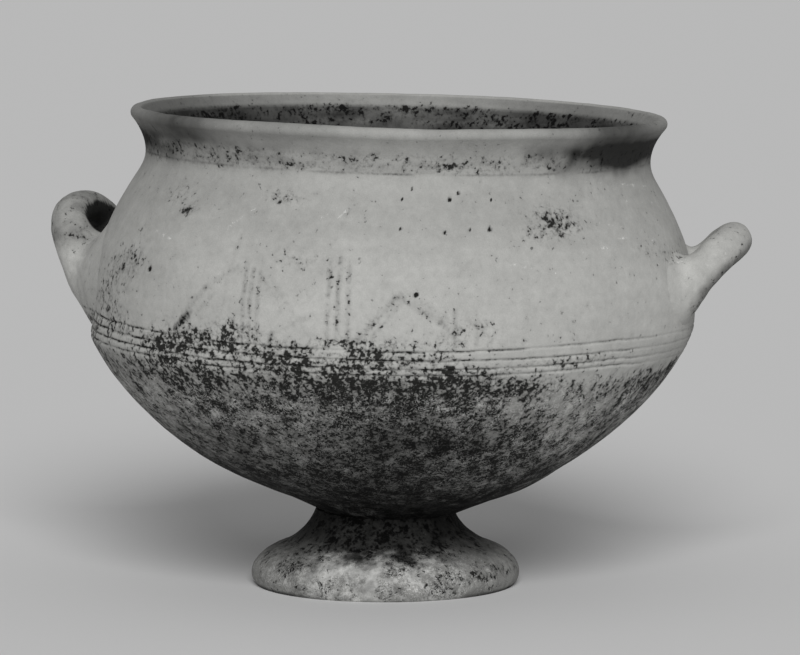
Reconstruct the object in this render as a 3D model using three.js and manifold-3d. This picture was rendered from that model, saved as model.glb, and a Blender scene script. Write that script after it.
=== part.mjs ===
import * as THREE from 'three';
import { mergeVertices } from 'three/addons/utils/BufferGeometryUtils.js';
import Module from 'manifold-3d';

const wasm = await Module();
wasm.setup();

// A footed bowl of fired clay with two loop handles, built up by hand from separate members.
// Sizes are in millimetres and angles in degrees. The foot stands on z = 0. Heights of the foot
// are above the ground, and heights of the bowl are above the joint between foot and bowl.

// Foot: a hollow flared pedestal with a thick rolled edge
const FOOT_HEIGHT = 41.6;
const FOOT_RADIUS = 73; // outer edge of the ring that it stands on
const FOOT_ROLL_SLOPE = 40.7;
const FOOT_ROLL_HOLD = 9.4;
const FOOT_SHOULDER_RADIUS = 62; // where the rolled edge turns into the flare
const FOOT_SHOULDER_HEIGHT = 21.2;
const FOOT_SHOULDER_SLOPE = -69;
const FOOT_SHOULDER_HOLD_BELOW = 13.2;
const FOOT_SHOULDER_HOLD_ABOVE = 12.4;
const STEM_RADIUS = 39.2; // top of the foot, under the bowl
const STEM_SLOPE = -21.9;
const STEM_HOLD = 10.5;
const REST_RING_WIDTH = 11;
const STEM_WALL = 11;
const THROAT_HEIGHT = 27; // where the hollow's flare ends and its straight throat starts
const HOLLOW_HOLD_ABOVE = 10.8; // how far the hollow keeps straight below the throat
const HOLLOW_HOLD_BELOW = 11.2; // and how far it keeps the slope of its mouth
const HOLLOW_MOUTH_SLOPE = 32.4;
const LUTING_COIL_SIZE = 8; // clay pressed into the corner under the bowl, inside the foot
const LUTING_COIL_FILLET = 3.2; // the slanting corner that a finger leaves on it
const SEAT_ALLOWANCE = 4; // the foot and its coil start this much too tall and are cut to the bowl

// Bowl: outside radius and height at the places where its outline turns. A rise is the height
// from one such place to a higher one, and a set-in is how much narrower the place is.
const BASE_RADIUS = 38.5;
const FLOOR_EDGE_RADIUS = 61.5;
const FLOOR_EDGE_HEIGHT = 10;
const FLOOR_EDGE_SLOPE = 71.9;
const FLOOR_EDGE_HOLD = 38.7;
const BELLY_RADIUS = 169;
const BELLY_HOLD_BELOW = 4.8;
const BELLY_HOLD_ABOVE = 28.2;
const BELLY_JOINT_HEIGHT = 95;
const BELLY_JOINT_SET_IN = 2.9;
const BELLY_JOINT_SLOPE = 27.3;
const BELLY_JOINT_HOLD_BELOW = 44;
const BELLY_JOINT_HOLD_ABOVE = 5.3;
const BELLY_RISE = 25.5; // from the belly joint to the widest place
const SHOULDER_RISE = 69.5; // from there to the neck joint
const NECK_SET_IN = 24.3;
const NECK_JOINT_SLOPE = -32;
const NECK_JOINT_HOLD_BELOW = 22.9;
const NECK_JOINT_HOLD_ABOVE = 12.6;
const COLLAR_RISE = 22; // from the neck joint to the rim joint
const LIP_RISE = 7.8; // from there to the outer edge of the lip
const LIP_OVERHANG = 4.7; // how much wider the lip is than the neck joint
const LIP_SLOPE = 40;
const LIP_HOLD = 10;

// Wall thickness at the floor, the belly, the neck and the lip
const FLOOR_THICKNESS = 9;
const BELLY_WALL = 7.5;
const NECK_WALL = 6.5;
const LIP_THICKNESS = 7.2;
const FLOOR_FLAT_RADIUS = 34; // how far the inside of the floor stays nearly level

// Joints between members: each upper edge is bevelled and stands on a thin bed of slip
const SLIP_GAP = 0.3;
const BED_GAP = 0.36; // along the wall, which leaves the slip gap square to the bevel
const BEVEL_RISE = 3.5;

// Four lines incised by hand round the belly, just above its joint
const GROOVE_COUNT = 4;
const GROOVE_START = 3.2; // along the wall, from the belly joint to the lowest line
const GROOVE_PITCH = 4.6;
const GROOVE_WIDTH = 1.8;
const GROOVE_DEPTH = 1.1;
const GROOVE_WANDER = 1.3; // up and down round the belly
const GROOVE_RIPPLE = 0.45; // and three times as quickly
const GROOVE_PHASE = 1.2;

// Loop handles: rolled coils set on the wall above the belly, each on two pads of smoothed clay
const HANDLE_SPREAD = 28; // half the distance between the two arms
const HANDLE_SINK = 3; // how far an arm's end is pressed in before it is cut to the wall
const ARCH_SHARE = 0.6; // share of the rise that the arch takes, above the straight arms
const PAD_WAIST = 0.62; // where a pad's edge turns up, as a share of its radius
// Right handle: it lies out at about 45 degrees
const RIGHT_AZIMUTH = 4.9;
const RIGHT_COIL_RADIUS = 10.4;
const RIGHT_ROOT_GROWTH = 2.8; // how much thicker the coil is at its roots
const RIGHT_ROOT_RISE = 39; // from the belly joint to where the coil's middle line meets the wall
const RIGHT_REACH = 24.3; // from there out and up to the crown of the arch
const RIGHT_RISE = 25.4;
const RIGHT_BEND_REACH = 9; // and out and up to the point that the sheet of the loop bends towards
const RIGHT_BEND_RISE = 14;
const RIGHT_PAD_RISE = 38; // from the belly joint to the middle of the pad
const RIGHT_PAD_PROUD = 5;
const RIGHT_PAD_RADIUS = 25;
const RIGHT_PAD_SPREAD = 30; // its outer half is smoothed out sideways this far
const RIGHT_PAD_DROP = 27; // the pad's lower half is drawn down this far

// Left handle: it stands up more, on heavier roots
const LEFT_AZIMUTH = 175.1;
const LEFT_COIL_RADIUS = 9.9;
const LEFT_ROOT_GROWTH = 10;
const LEFT_ROOT_RISE = 31.5;
const LEFT_REACH = 23.4;
const LEFT_RISE = 35.2;
const LEFT_BEND_REACH = 22.8;
const LEFT_BEND_RISE = 26;
const LEFT_PAD_RISE = 31;
const LEFT_PAD_PROUD = 14;
const LEFT_PAD_RADIUS = 27;
const LEFT_PAD_SPREAD = 44;
const LEFT_PAD_DROP = 38;

// How the hand-built members stray from true
const LEAN_TO_RIGHT = 1.55; // the bowl leans towards the right handle
const LEAN_TO_FRONT = 0.43;
const BOWL_SHIFT = new THREE.Vector2(2.1, 0.5); // the bowl is set this far off the foot's axis
const DRIFT = new THREE.Vector2(-3.6, -0.8); // the lower wall strays this far off the bowl's axis
const DRIFT_HEIGHTS = [12, 32, 92, 112]; // where the stray starts, is full, and ends again

// Fineness of the facets
const TURN_STEPS = 52;
const WALL_STEP = 12;
const COIL_SIDES = 12;
const COIL_RINGS = 22;
const PAD_SIDES = 18;
const SLIVER = 0.04; // facets thinner than this, left by a cut, are closed up

const radians = THREE.MathUtils.degToRad;

// Joins the seam of a turned or swept mesh, drops its empty triangles and faces it outward.
function closed(geometry) {
  geometry.deleteAttribute('normal');
  geometry.deleteAttribute('uv');
  const merged = mergeVertices(geometry, 1e-4);
  const index = merged.index.array;
  const kept = [];
  for (let i = 0; i < index.length; i += 3) {
    const [a, b, c] = [index[i], index[i + 1], index[i + 2]];
    if (a !== b && b !== c && c !== a) kept.push(a, b, c);
  }
  const corner = [new THREE.Vector3(), new THREE.Vector3(), new THREE.Vector3()];
  let volume = 0;
  for (let i = 0; i < kept.length; i += 3) {
    corner.forEach((point, k) => point.fromBufferAttribute(merged.attributes.position, kept[i + k]));
    volume += corner[0].dot(corner[1].clone().cross(corner[2]));
  }
  if (volume < 0) kept.reverse();
  merged.setIndex(kept);
  return merged;
}

function solidOf(geometry) {
  const vertProperties = new Float32Array(geometry.attributes.position.array);
  const triVerts = new Uint32Array(geometry.index.array);
  return new wasm.Manifold(new wasm.Mesh({ numProp: 3, vertProperties, triVerts }));
}

function geometryOf(solid) {
  const mesh = solid.asOriginal().simplify(SLIVER).getMesh();
  const geometry = new THREE.BufferGeometry();
  geometry.setAttribute('position', new THREE.BufferAttribute(new Float32Array(mesh.vertProperties), 3));
  geometry.setIndex(Array.from(mesh.triVerts));
  return geometry;
}

// Turns a closed profile of radius and height about the vertical axis.
function turned(profile, steps = TURN_STEPS) {
  const geometry = new THREE.LatheGeometry(profile, steps);
  geometry.rotateX(Math.PI / 2);
  return closed(geometry);
}

// A smooth outline through stations. A station's slope is measured from straight up, positive
// where the outline opens outward, and its holds say how far the curve keeps that slope.
function outline(stations) {
  const path = new THREE.Path();
  path.moveTo(stations[0].radius, stations[0].height);
  for (let i = 1; i < stations.length; i++) {
    const from = stations[i - 1];
    const to = stations[i];
    const leave = radians(from.slope);
    const arrive = radians(to.slope);
    path.bezierCurveTo(
      from.radius + from.above * Math.sin(leave), from.height + from.above * Math.cos(leave),
      to.radius - to.below * Math.sin(arrive), to.height - to.below * Math.cos(arrive),
      to.radius, to.height,
    );
  }
  path.arcLengthDivisions = 800;
  return path;
}

const bellyJointRadius = BELLY_RADIUS - BELLY_JOINT_SET_IN;
const bellyHeight = BELLY_JOINT_HEIGHT + BELLY_RISE;
const neckJointRadius = BELLY_RADIUS - NECK_SET_IN;
const neckJointHeight = bellyHeight + SHOULDER_RISE;
const rimJointHeight = neckJointHeight + COLLAR_RISE;
const bowlOutline = outline([
  { radius: FLOOR_EDGE_RADIUS, height: FLOOR_EDGE_HEIGHT, slope: FLOOR_EDGE_SLOPE,
    above: FLOOR_EDGE_HOLD },
  { radius: bellyJointRadius, height: BELLY_JOINT_HEIGHT, slope: BELLY_JOINT_SLOPE,
    below: BELLY_JOINT_HOLD_BELOW, above: BELLY_JOINT_HOLD_ABOVE },
  { radius: BELLY_RADIUS, height: bellyHeight, slope: 0,
    below: BELLY_HOLD_BELOW, above: BELLY_HOLD_ABOVE },
  { radius: neckJointRadius, height: neckJointHeight, slope: NECK_JOINT_SLOPE,
    below: NECK_JOINT_HOLD_BELOW, above: NECK_JOINT_HOLD_ABOVE },
  { radius: neckJointRadius + LIP_OVERHANG, height: rimJointHeight + LIP_RISE,
    slope: LIP_SLOPE, below: LIP_HOLD },
]);
const wallLength = bowlOutline.getLength();

// Distance along the outline at which it reaches a height.
function alongAt(height) {
  let low = 0;
  let high = wallLength;
  for (let i = 0; i < 40; i++) {
    const middle = (low + high) / 2;
    if (bowlOutline.getPointAt(middle / wallLength).y < height) low = middle;
    else high = middle;
  }
  return (low + high) / 2;
}

const outsideRadius = (height) => bowlOutline.getPointAt(alongAt(height) / wallLength).x;

const bellyJoint = alongAt(BELLY_JOINT_HEIGHT);
const neckJoint = alongAt(neckJointHeight);
const rimJoint = alongAt(rimJointHeight);

// Wall thickness along the outline, even between the places where it is set.
function wallAt(along) {
  const places = [0, bellyJoint, neckJoint, wallLength];
  const sizes = [FLOOR_THICKNESS, BELLY_WALL, NECK_WALL, LIP_THICKNESS];
  const k = [bellyJoint, neckJoint].filter((place) => along >= place).length;
  const share = (along - places[k]) / (places[k + 1] - places[k]);
  return THREE.MathUtils.lerp(sizes[k], sizes[k + 1], THREE.MathUtils.clamp(share, 0, 1));
}

// A point in the wall: a distance along the outline and a depth in from the outside.
function wallPoint(along, depth) {
  const share = THREE.MathUtils.clamp(along / wallLength, 0, 1);
  const point = bowlOutline.getPointAt(share);
  const tangent = bowlOutline.getTangentAt(share);
  return new THREE.Vector2(point.x - tangent.y * depth, point.y + tangent.x * depth);
}

function steps(from, to) {
  const count = Math.max(2, Math.ceil((to - from) / WALL_STEP));
  return Array.from({ length: count + 1 }, (_, i) => THREE.MathUtils.lerp(from, to, i / count));
}

// The incised lines, as distances along the outline, and the marks at which the outside of the
// wall is drawn. Every member and everything set against the wall uses the same marks.
const grooves = Array.from(
  { length: GROOVE_COUNT }, (_, i) => bellyJoint + GROOVE_START + i * GROOVE_PITCH);
const grooveEdges = grooves.flatMap((along) => [along - GROOVE_WIDTH / 2, along + GROOVE_WIDTH / 2]);
const wallMarks = [
  ...steps(0, bellyJoint),
  ...grooveEdges,
  ...steps(grooves.at(-1) + GROOVE_PITCH, neckJoint),
  ...steps(neckJoint, rimJoint).slice(1),
  ...steps(rimJoint, wallLength).slice(1),
];

function marksBetween(from, to) {
  return [from, ...wallMarks.filter((along) => along > from + BED_GAP && along < to - BED_GAP), to];
}

const outsidePoints = (from, to) => marksBetween(from, to).map((along) => wallPoint(along, 0));

// The closed profile of one member of the wall, with its joints bevelled up towards the inside.
function memberProfile(from, to, outside = outsidePoints(from, to)) {
  const inside = steps(from + BEVEL_RISE, to + BEVEL_RISE).reverse();
  const points = [...outside, ...inside.map((along) => wallPoint(along, wallAt(along)))];
  return [...points, points[0].clone()];
}

// How far the wall strays sideways at a height, and how an incised line wanders up and down.
function drift(height) {
  const [start, full, fading, end] = DRIFT_HEIGHTS;
  const smooth = THREE.MathUtils.smoothstep;
  return DRIFT.clone().multiplyScalar(smooth(height, start, full) - smooth(height, fading, end));
}

function wander(azimuth, height) {
  const band = GROOVE_START + GROOVE_COUNT * GROOVE_PITCH;
  const near = Math.exp(-(((height - BELLY_JOINT_HEIGHT - band / 2) / band) ** 2));
  const slow = GROOVE_WANDER * Math.sin(azimuth + GROOVE_PHASE);
  return near * (slow + GROOVE_RIPPLE * Math.sin(3 * azimuth));
}

function handMade(geometry) {
  const position = geometry.attributes.position;
  for (let i = 0; i < position.count; i++) {
    const [x, y, z] = [position.getX(i), position.getY(i), position.getZ(i)];
    const shift = drift(z);
    position.setXYZ(i, x + shift.x, y + shift.y, z + wander(Math.atan2(y, x), z));
  }
  return geometry;
}

// Foot
const footOutline = outline([
  { radius: FOOT_RADIUS, height: 0, slope: FOOT_ROLL_SLOPE, above: FOOT_ROLL_HOLD },
  { radius: FOOT_SHOULDER_RADIUS, height: FOOT_SHOULDER_HEIGHT, slope: FOOT_SHOULDER_SLOPE,
    below: FOOT_SHOULDER_HOLD_BELOW, above: FOOT_SHOULDER_HOLD_ABOVE },
  { radius: STEM_RADIUS, height: FOOT_HEIGHT, slope: STEM_SLOPE, below: STEM_HOLD },
]);
const throatRadius = STEM_RADIUS - STEM_WALL;
const uncutTop = FOOT_HEIGHT + SEAT_ALLOWANCE;
const hollowOutline = outline([
  { radius: FOOT_RADIUS - REST_RING_WIDTH, height: 0, slope: -HOLLOW_MOUTH_SLOPE,
    above: HOLLOW_HOLD_BELOW },
  { radius: throatRadius, height: THROAT_HEIGHT, slope: 0, below: HOLLOW_HOLD_ABOVE },
]);

function footSolid() {
  const profile = [
    ...footOutline.getPoints(6),
    new THREE.Vector2(STEM_RADIUS, uncutTop),
    new THREE.Vector2(throatRadius, uncutTop),
    ...hollowOutline.getPoints(6).reverse(),
  ];
  return solidOf(turned([...profile, profile[0].clone()]));
}

function lutingCoilSolid() {
  const outer = throatRadius - SLIP_GAP;
  const inner = outer - LUTING_COIL_SIZE;
  const low = FOOT_HEIGHT - LUTING_COIL_SIZE;
  const profile = [
    new THREE.Vector2(outer, low),
    new THREE.Vector2(outer, uncutTop),
    new THREE.Vector2(inner, uncutTop),
    new THREE.Vector2(inner, FOOT_HEIGHT - LUTING_COIL_FILLET / 2),
    new THREE.Vector2(inner + LUTING_COIL_FILLET, low + LUTING_COIL_FILLET),
  ];
  return solidOf(turned([...profile, profile[0].clone()]));
}

// Members of the bowl
function basePiece() {
  const inner = wallPoint(BEVEL_RISE, wallAt(BEVEL_RISE));
  const floor = new THREE.QuadraticBezierCurve(
    inner, new THREE.Vector2(FLOOR_FLAT_RADIUS, FLOOR_THICKNESS), new THREE.Vector2(0, FLOOR_THICKNESS));
  return handMade(turned([
    new THREE.Vector2(0, 0),
    new THREE.Vector2(BASE_RADIUS, 0),
    wallPoint(0, 0),
    ...floor.getPoints(6),
  ]));
}

function lowerWallPiece() {
  return handMade(turned(memberProfile(BED_GAP, bellyJoint)));
}

// The shoulder carries the incised lines, each a shallow notch in its outline.
function shoulderPiece() {
  const start = bellyJoint + BED_GAP;
  const cuts = grooves.map((along) => ({ along, depth: GROOVE_DEPTH }));
  const plain = marksBetween(start, neckJoint).map((along) => ({ along, depth: 0 }));
  const outside = [...plain, ...cuts]
    .sort((a, b) => a.along - b.along)
    .map(({ along, depth }) => wallPoint(along, depth));
  return handMade(turned(memberProfile(start, neckJoint, outside)));
}

function neckPiece() {
  return handMade(turned(memberProfile(neckJoint + BED_GAP, rimJoint)));
}

// The lip is the wall's end, rolled over in a half round.
function lipPiece() {
  const start = rimJoint + BED_GAP;
  const outside = outsidePoints(start, wallLength);
  const half = LIP_THICKNESS / 2;
  const centre = wallPoint(wallLength, half);
  const facing = outside.at(-1).clone().sub(centre).angle();
  const roll = new THREE.Path().absarc(centre.x, centre.y, half, facing, facing + Math.PI, false);
  const inside = steps(start + BEVEL_RISE, wallLength).reverse();
  const points = [
    ...outside,
    ...roll.getPoints(5).slice(1, -1),
    ...inside.map((along) => wallPoint(along, wallAt(along))),
  ];
  return handMade(turned([...points, points[0].clone()]));
}

// The space that the wall takes, with a bed of slip all over it.
function wallEnvelope() {
  const outside = wallMarks.map((along) => wallPoint(along, -SLIP_GAP));
  const top = new THREE.Vector2(0, outside.at(-1).y);
  const bottom = new THREE.Vector2(0, outside[0].y);
  return solidOf(handMade(turned([bottom, ...outside, top])));
}

// The middle line of a handle: two straight arms and an arch, on a sheet that bends as it rises.
class HandleLine extends THREE.Curve {
  constructor(handle) {
    super();
    const wall = outsideRadius(handle.rootHeight) - HANDLE_SINK;
    this.sheet = new THREE.QuadraticBezierCurve(
      new THREE.Vector2(wall, handle.rootHeight),
      new THREE.Vector2(wall + handle.bendReach, handle.rootHeight + handle.bendRise),
      new THREE.Vector2(wall + handle.reach, handle.rootHeight + handle.rise),
    );
    const height = this.sheet.getLength();
    const arm = height * (1 - ARCH_SHARE);
    const flat = new THREE.Path();
    flat.moveTo(-HANDLE_SPREAD, 0);
    flat.lineTo(-HANDLE_SPREAD, arm);
    flat.absellipse(0, arm, HANDLE_SPREAD, height - arm, Math.PI, 0, true);
    flat.lineTo(HANDLE_SPREAD, 0);
    flat.arcLengthDivisions = 400;
    this.flat = flat;
    this.height = height;
  }

  rise(t) {
    return THREE.MathUtils.clamp(this.flat.getPointAt(t).y / this.height, 0, 1);
  }

  getPoint(t, target = new THREE.Vector3()) {
    const across = this.flat.getPointAt(t).x;
    const point = this.sheet.getPoint(this.rise(t));
    return target.set(point.x, across, point.y);
  }
}

// Sweeps a round coil along a line, thicker towards its two ends.
function coil(line, radius, growth) {
  const frames = line.computeFrenetFrames(COIL_RINGS, false);
  const positions = [];
  const index = [];
  for (let ring = 0; ring <= COIL_RINGS; ring++) {
    const centre = line.getPointAt(ring / COIL_RINGS);
    const low = 1 - line.rise(ring / COIL_RINGS);
    const reach = radius + growth * low * low;
    for (let side = 0; side < COIL_SIDES; side++) {
      const turn = (2 * Math.PI * side) / COIL_SIDES;
      const point = centre.clone();
      point.addScaledVector(frames.normals[ring], reach * Math.cos(turn));
      point.addScaledVector(frames.binormals[ring], reach * Math.sin(turn));
      positions.push(point.x, point.y, point.z);
      if (ring === COIL_RINGS) continue;
      const here = ring * COIL_SIDES + side;
      const next = ring * COIL_SIDES + ((side + 1) % COIL_SIDES);
      index.push(here, next, next + COIL_SIDES, here, next + COIL_SIDES, here + COIL_SIDES);
    }
  }
  const last = COIL_RINGS * COIL_SIDES;
  for (let side = 1; side < COIL_SIDES - 1; side++) {
    index.push(0, side + 1, side);
    index.push(last, last + side, last + side + 1);
  }
  const geometry = new THREE.BufferGeometry();
  geometry.setAttribute('position', new THREE.Float32BufferAttribute(positions, 3));
  geometry.setIndex(index);
  return closed(geometry);
}

// A pad of smoothed clay at the root of one arm: a bell whose lower half is drawn down and whose
// outer half is drawn out sideways, wrapped on to the wall so that its edge thins out to nothing.
function pad(handle, side) {
  const waist = handle.padRadius * PAD_WAIST;
  const bell = new THREE.CubicBezierCurve(
    new THREE.Vector2(handle.padRadius, 0),
    new THREE.Vector2(waist, 0),
    new THREE.Vector2(waist, handle.padProud),
    new THREE.Vector2(0, handle.padProud),
  );
  const geometry = turned([
    new THREE.Vector2(0, -HANDLE_SINK),
    new THREE.Vector2(handle.padRadius, -HANDLE_SINK),
    ...bell.getPoints(6),
  ], PAD_SIDES);
  const position = geometry.attributes.position;
  const middle = side * Math.asin(HANDLE_SPREAD / outsideRadius(handle.rootHeight));
  for (let i = 0; i < position.count; i++) {
    const reach = position.getX(i);
    const across = side * reach < 0 ? (reach * handle.padSpread) / handle.padRadius : reach;
    const up = position.getY(i);
    const proud = position.getZ(i);
    const height = handle.padHeight + (up < 0 ? (up * handle.padDrop) / handle.padRadius : up);
    const wall = outsideRadius(height);
    const azimuth = middle - across / wall;
    position.setXYZ(
      i, (wall + proud) * Math.cos(azimuth), (wall + proud) * Math.sin(azimuth), height);
  }
  return closed(geometry);
}

const HANDLES = [
  {
    name: 'right_handle',
    azimuth: RIGHT_AZIMUTH,
    radius: RIGHT_COIL_RADIUS,
    rootGrowth: RIGHT_ROOT_GROWTH,
    rootHeight: BELLY_JOINT_HEIGHT + RIGHT_ROOT_RISE,
    reach: RIGHT_REACH,
    rise: RIGHT_RISE,
    bendReach: RIGHT_BEND_REACH,
    bendRise: RIGHT_BEND_RISE,
    padHeight: BELLY_JOINT_HEIGHT + RIGHT_PAD_RISE,
    padProud: RIGHT_PAD_PROUD,
    padRadius: RIGHT_PAD_RADIUS,
    padSpread: RIGHT_PAD_SPREAD,
    padDrop: RIGHT_PAD_DROP,
  },
  {
    name: 'left_handle',
    azimuth: LEFT_AZIMUTH,
    radius: LEFT_COIL_RADIUS,
    rootGrowth: LEFT_ROOT_GROWTH,
    rootHeight: BELLY_JOINT_HEIGHT + LEFT_ROOT_RISE,
    reach: LEFT_REACH,
    rise: LEFT_RISE,
    bendReach: LEFT_BEND_REACH,
    bendRise: LEFT_BEND_RISE,
    padHeight: BELLY_JOINT_HEIGHT + LEFT_PAD_RISE,
    padProud: LEFT_PAD_PROUD,
    padRadius: LEFT_PAD_RADIUS,
    padSpread: LEFT_PAD_SPREAD,
    padDrop: LEFT_PAD_DROP,
  },
];

// Each member has the tone that its clay took in the fire.
const TONES = {
  foot: 0x77766f,
  foot_luting_coil: 0x55544f,
  bowl_base: 0x33332f,
  lower_wall: 0x4f4e49,
  shoulder_wall: 0xacaca6,
  neck_collar: 0x7f7f79,
  rim_lip: 0x9a9a94,
  handle: 0x9f9f99,
  pad: 0xa3a39d,
};

function member(name, geometry, tone = name) {
  geometry.computeVertexNormals();
  const material = new THREE.MeshStandardMaterial({ color: TONES[tone], roughness: 0.85, metalness: 0 });
  const mesh = new THREE.Mesh(geometry, material);
  mesh.name = name;
  return mesh;
}

// The bowl is set a little off the foot's axis and leans on it.
const bowl = new THREE.Group();
bowl.position.set(BOWL_SHIFT.x, BOWL_SHIFT.y, FOOT_HEIGHT);
bowl.rotation.set(radians(LEAN_TO_FRONT), radians(LEAN_TO_RIGHT), 0);
bowl.updateMatrix();

bowl.add(member('bowl_base', basePiece()));
bowl.add(member('lower_wall', lowerWallPiece()));
bowl.add(member('shoulder_wall', shoulderPiece()));
bowl.add(member('neck_collar', neckPiece()));
bowl.add(member('rim_lip', lipPiece()));

const envelope = wallEnvelope();
for (const handle of HANDLES) {
  const line = new HandleLine(handle);
  const turn = (geometry) => geometry.rotateZ(radians(handle.azimuth));
  const loop = solidOf(turn(coil(line, handle.radius, handle.rootGrowth)));
  const bedded = solidOf(turn(coil(line, handle.radius + SLIP_GAP, handle.rootGrowth)));
  bowl.add(member(handle.name, geometryOf(loop.subtract(envelope)), 'handle'));
  const back = Math.sign(Math.cos(radians(handle.azimuth)));
  for (const [place, side] of [['front', -back], ['back', back]]) {
    const clay = solidOf(turn(pad(handle, side)));
    const fitted = clay.subtract(envelope).subtract(bedded);
    bowl.add(member(`${handle.name}_${place}_pad`, geometryOf(fitted), 'pad'));
  }
}

// The top of the foot and its inner coil are cut to the seat of the leaning bowl.
const seatProfile = [
  new THREE.Vector2(0, -SLIP_GAP),
  new THREE.Vector2(FLOOR_EDGE_RADIUS, -SLIP_GAP),
  new THREE.Vector2(FLOOR_EDGE_RADIUS, FOOT_HEIGHT),
  new THREE.Vector2(0, FOOT_HEIGHT),
];
const seat = solidOf(turned(seatProfile).applyMatrix4(bowl.matrix));

const vessel = new THREE.Group();
vessel.add(member('foot', geometryOf(footSolid().subtract(seat))));
vessel.add(member('foot_luting_coil', geometryOf(lutingCoilSolid().subtract(seat))));
vessel.add(bowl);

// The origin is the middle of the footprint of the whole vessel, on the ground.
vessel.updateMatrixWorld(true);
const bounds = new THREE.Box3().setFromObject(vessel, true);
const middle = bounds.getCenter(new THREE.Vector3());
vessel.position.set(-middle.x, -middle.y, -bounds.min.z);

export default vessel;
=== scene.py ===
"""The looks of a hand-built footed clay bowl with two loop handles, made around its CAD frame.

Shapes are worked out in millimetres and put into the meshes in metres. Places on the bowl are
given by two numbers: an azimuth in degrees round the bowl's own axis, 0 at the decorated front and
growing to the right, and a height in millimetres above the joint between foot and bowl.
"""
import itertools
import math

import bpy
import numpy as np
from mathutils import Euler, Matrix, Vector


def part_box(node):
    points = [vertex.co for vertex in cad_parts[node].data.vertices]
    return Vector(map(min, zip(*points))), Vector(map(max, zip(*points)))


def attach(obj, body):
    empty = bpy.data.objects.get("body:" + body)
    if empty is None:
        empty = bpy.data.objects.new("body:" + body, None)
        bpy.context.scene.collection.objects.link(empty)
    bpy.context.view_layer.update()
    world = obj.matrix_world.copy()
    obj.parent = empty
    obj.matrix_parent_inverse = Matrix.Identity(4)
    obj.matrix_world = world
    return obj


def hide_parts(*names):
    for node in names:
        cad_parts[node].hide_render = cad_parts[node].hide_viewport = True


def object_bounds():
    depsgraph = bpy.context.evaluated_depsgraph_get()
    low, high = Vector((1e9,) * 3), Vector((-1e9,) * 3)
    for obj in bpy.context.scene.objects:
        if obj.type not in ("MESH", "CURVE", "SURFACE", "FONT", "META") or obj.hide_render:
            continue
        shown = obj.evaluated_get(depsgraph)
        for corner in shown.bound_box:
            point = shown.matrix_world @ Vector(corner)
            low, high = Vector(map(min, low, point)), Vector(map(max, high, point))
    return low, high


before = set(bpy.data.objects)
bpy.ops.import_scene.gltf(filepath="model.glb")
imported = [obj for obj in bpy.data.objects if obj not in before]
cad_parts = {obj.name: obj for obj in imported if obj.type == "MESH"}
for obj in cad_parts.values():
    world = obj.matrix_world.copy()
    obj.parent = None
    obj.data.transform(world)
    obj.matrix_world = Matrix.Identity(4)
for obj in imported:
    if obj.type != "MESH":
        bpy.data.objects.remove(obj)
cad_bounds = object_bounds()

MM = 0.001

# Foot and bowl, in millimetres and degrees, as the solids have them: each station of an outline has
# its radius, height, slope from straight up, and how far the curve keeps that slope below and above
FOOT_HEIGHT, FOOT_RADIUS, STEM_RADIUS = 41.6, 73, 39.2
HOLLOW_RADIUS, THROAT_RADIUS, THROAT_HEIGHT = 62, 28.2, 27
FOOT_OUTLINE = (
    (FOOT_RADIUS, 0, 40.7, 0, 9.4),
    (62, 21.2, -69, 13.2, 12.4),
    (STEM_RADIUS, FOOT_HEIGHT, -21.9, 10.5, 0),
)
HOLLOW_OUTLINE = ((HOLLOW_RADIUS, 0, -32.4, 0, 11.2), (THROAT_RADIUS, THROAT_HEIGHT, 0, 10.8, 0))
COIL_INNER, COIL_OUTER, COIL_LOW, COIL_TOP = 19.9, 27.9, 33.6, 41.2
COIL_SQUARENESS = 0.6  # how far the pressed coil's section keeps to its corner
COIL_DENTS, DENT_DEPTH = 14, 0.35
BASE_RADIUS, FLOOR_FLAT_RADIUS = 38.5, 34
BELLY_JOINT, NECK_JOINT, RIM_JOINT = 95, 190, 212
BOWL_OUTLINE = (
    (61.5, 10, 71.9, 0, 38.7),
    (166.1, BELLY_JOINT, 27.3, 44, 5.3),
    (169, 120.5, 0, 4.8, 28.2),
    (144.7, NECK_JOINT, -32, 22.9, 12.6),
    (149.4, 219.8, 40, 10, 0),
)
WALLS = (9, 7.5, 6.5, 7.2)  # thickness at the floor, the belly joint, the neck joint and the lip
BEVEL_RISE = 3.5
LEAN_TO_RIGHT, LEAN_TO_FRONT = 1.55, 0.43
LEAN_START = 26  # height on the foot above which it begins to follow the bowl's lean
BOWL_SHIFT = (2.1, 0.5)
DRIFT = (-3.6, -0.8)
DRIFT_HEIGHTS = (12, 32, 92, 112)
BOX_INSET = 0.01  # how far the visible pieces keep inside the CAD box, except at the floor

# The photograph's camera, from the middle of the foot, in metres
CAMERA_PLACE = Vector((0.5752, -2.5356, 0.4108))
CAMERA_FORWARD = Vector((-0.2170, 0.9708, -0.1018))
CAMERA_RIGHT = Vector((0.9759, 0.2181, 0))
LENS, SENSOR = 208.77, 36
FRONT = -77.4  # direction of the decorated front, in degrees from the part's +X

# Fineness of the meshes, in degrees and millimetres
FRONT_REACH = 85
FRONT_STEP, BACK_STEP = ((0.34, 0.8))
ROW_STEP = 1.0
AXIS_GAP = 1.5  # radius of the cap that closes a disc at its middle
JOINT_EDGE = 0.1  # width of the narrow row on each side of a joint
SHARP_ANGLE = 62
VOLUME_SAMPLES = 4000


# Repeatable noise

def hashed(cell, seed):
    """A large random whole number for each lattice cell, always the same one."""
    n = cell[:, 0] * 374761393 + cell[:, 1] * 668265263 + cell[:, 2] * 1442695041 + seed * 97531
    n = (n ^ (n >> 13)) & 0xFFFFFFFF
    n = (n * 1274126177) & 0xFFFFFFFF
    return n ^ (n >> 16)


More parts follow.
